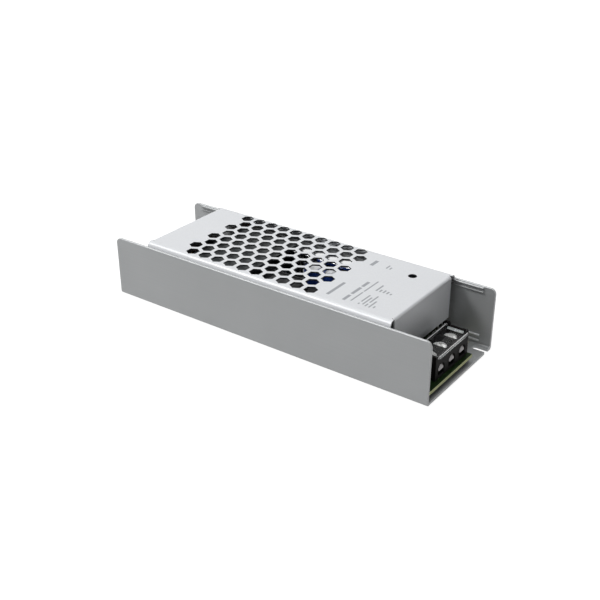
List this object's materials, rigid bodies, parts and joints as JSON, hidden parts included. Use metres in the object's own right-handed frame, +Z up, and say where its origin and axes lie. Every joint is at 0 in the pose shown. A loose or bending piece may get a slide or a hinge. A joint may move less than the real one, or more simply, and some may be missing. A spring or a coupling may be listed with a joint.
{
  "type": "power supply",
  "caption": "Slim enclosed power supply: open-ended metal channel, vented snap-in cover, screw terminals with clear flaps at both ends.",
  "frame": {"origin": "middle of the channel's underside", "axes": "+X along the channel towards the low voltage terminals, +Y across, +Z up"},
  "size_m": [0.18, 0.06, 0.0334],
  "materials": {
    "channel": "satin natural extrusion",
    "cover": "fine matt light coat",
    "board": "green solder mask",
    "film": "thin insulating film",
    "terminal_black": "moulded, fine grain",
    "clear": "clear moulded",
    "plated": "bright nickel plate",
    "tinned": "tin plate",
    "dark_anodised": "dark matt",
    "bright_aluminium": "bare sheet",
    "package_black": "moulded epoxy",
    "pad_grey": "silicone pad",
    "steel": "zinc plate",
    "sleeve_black": "shrunk sleeve",
    "sleeve_blue": "shrunk sleeve",
    "can": "drawn can",
    "ferrite": "ground ferrite",
    "bobbin_plastic": "moulded",
    "tape": "polyester tape over copper",
    "copper": "enamelled wire",
    "box_yellow": "moulded box",
    "dipped_red": "dipped coat",
    "disc_blue": "dipped coat",
    "disc_black": "dipped coat",
    "ceramic": "ceramic tube",
    "trimmer_blue": "moulded",
    "rotor_white": "moulded",
    "resistor_tan": "lacquered"
  },
  "bodies": {
    "housing": {"bridge_rectifier": "package_black", "bulk_capacitor_cans": "can", "bulk_capacitor_sleeves": "sleeve_black", "channel_base": "channel", "choke_core": "ferrite", "choke_windings": "copper", "circuit_board": "board", "controller_chip": "package_black", "film_capacitor": "dipped_red", "fuse_caps": "plated", "fuse_tube": "ceramic", "input_contact_bars": "tinned", "input_terminal_block": "terminal_black", "insulating_pads": "pad_grey", "insulating_sheet": "film", "optocoupler": "package_black", "output_capacitor_cans": "can", "output_capacitor_sleeves": "sleeve_blue", "output_contact_bars": "tinned", "output_diodes": "package_black", "output_inductor_core": "ferrite", "output_inductor_winding": "copper", "output_terminal_block": "terminal_black", "primary_heat_sink": "dark_anodised", "resistors": "resistor_tan", "secondary_heat_sink": "bright_aluminium", "switching_transistor": "package_black", "thermistor": "disc_black", "transformer_bobbin": "bobbin_plastic", "transformer_core": "ferrite", "transformer_winding": "tape", "transistor_screws": "steel", "trimmer_body": "trimmer_blue", "vented_cover": "cover", "x_capacitor": "box_yellow", "y_capacitors": "disc_blue"},
    "input_cage_1": {"input_cage_1": "plated"},
    "input_cage_2": {"input_cage_2": "plated"},
    "input_cage_3": {"input_cage_3": "plated"},
    "input_screw_1": {"input_screw_1": "plated"},
    "input_screw_2": {"input_screw_2": "plated"},
    "input_screw_3": {"input_screw_3": "plated"},
    "input_terminal_cover": {"input_terminal_cover": "clear"},
    "output_cage_1": {"output_cage_1": "plated"},
    "output_cage_2": {"output_cage_2": "plated"},
    "output_cage_3": {"output_cage_3": "plated"},
    "output_screw_1": {"output_screw_1": "plated"},
    "output_screw_2": {"output_screw_2": "plated"},
    "output_screw_3": {"output_screw_3": "plated"},
    "output_terminal_cover": {"output_terminal_cover": "clear"},
    "trimmer_rotor": {"trimmer_rotor": "rotor_white"}
  },
  "joints": [
    {"name": "output_screw_1_turn", "type": "hinge", "parent": "housing", "child": "output_screw_1", "pos_m": [0.0805, -0.0129, 0.0126], "axis": [0, 0, 1], "range_deg": [0, 1080]},
    {"name": "output_cage_1_lift", "type": "slide", "parent": "housing", "child": "output_cage_1", "axis": [0, 0, -1], "range_m": [0, 0.0015]},
    {"name": "output_screw_2_turn", "type": "hinge", "parent": "housing", "child": "output_screw_2", "pos_m": [0.0805, -0.0034, 0.0126], "axis": [0, 0, 1], "range_deg": [0, 1080]},
    {"name": "output_cage_2_lift", "type": "slide", "parent": "housing", "child": "output_cage_2", "axis": [0, 0, -1], "range_m": [0, 0.0015]},
    {"name": "output_screw_3_turn", "type": "hinge", "parent": "housing", "child": "output_screw_3", "pos_m": [0.0805, 0.0061, 0.0126], "axis": [0, 0, 1], "range_deg": [0, 1080]},
    {"name": "output_cage_3_lift", "type": "slide", "parent": "housing", "child": "output_cage_3", "axis": [0, 0, -1], "range_m": [0, 0.0015]},
    {"name": "output_cover_hinge", "type": "hinge", "parent": "housing", "child": "output_terminal_cover", "pos_m": [0.076, -0.0034, 0.01725], "axis": [0, -1, 0], "range_deg": [0, 105]},
    {"name": "input_screw_1_turn", "type": "hinge", "parent": "housing", "child": "input_screw_1", "pos_m": [-0.0805, 0.0129, 0.0126], "axis": [0, 0, 1], "range_deg": [0, 1080]},
    {"name": "input_cage_1_lift", "type": "slide", "parent": "housing", "child": "input_cage_1", "axis": [0, 0, -1], "range_m": [0, 0.0015]},
    {"name": "input_screw_2_turn", "type": "hinge", "parent": "housing", "child": "input_screw_2", "pos_m": [-0.0805, 0.0034, 0.0126], "axis": [0, 0, 1], "range_deg": [0, 1080]},
    {"name": "input_cage_2_lift", "type": "slide", "parent": "housing", "child": "input_cage_2", "axis": [0, 0, -1], "range_m": [0, 0.0015]},
    {"name": "input_screw_3_turn", "type": "hinge", "parent": "housing", "child": "input_screw_3", "pos_m": [-0.0805, -0.0061, 0.0126], "axis": [0, 0, 1], "range_deg": [0, 1080]},
    {"name": "input_cage_3_lift", "type": "slide", "parent": "housing", "child": "input_cage_3", "axis": [0, 0, -1], "range_m": [0, 0.0015]},
    {"name": "input_cover_hinge", "type": "hinge", "parent": "housing", "child": "input_terminal_cover", "pos_m": [-0.076, 0.0034, 0.01725], "axis": [0, 1, 0], "range_deg": [0, 105]},
    {"name": "trimmer_turn", "type": "hinge", "parent": "housing", "child": "trimmer_rotor", "pos_m": [0.0549, 0.015, 0.0104], "axis": [0, 0, 1], "range_deg": [-135, 135]}
  ],
  "couplings": [
    {"joint": "output_screw_1_turn", "follows": "output_cage_1_lift", "rad_per_m": 12566},
    {"joint": "output_screw_2_turn", "follows": "output_cage_2_lift", "rad_per_m": 12566},
    {"joint": "output_screw_3_turn", "follows": "output_cage_3_lift", "rad_per_m": 12566},
    {"joint": "input_screw_1_turn", "follows": "input_cage_1_lift", "rad_per_m": 12566},
    {"joint": "input_screw_2_turn", "follows": "input_cage_2_lift", "rad_per_m": 12566},
    {"joint": "input_screw_3_turn", "follows": "input_cage_3_lift", "rad_per_m": 12566}
  ]
}
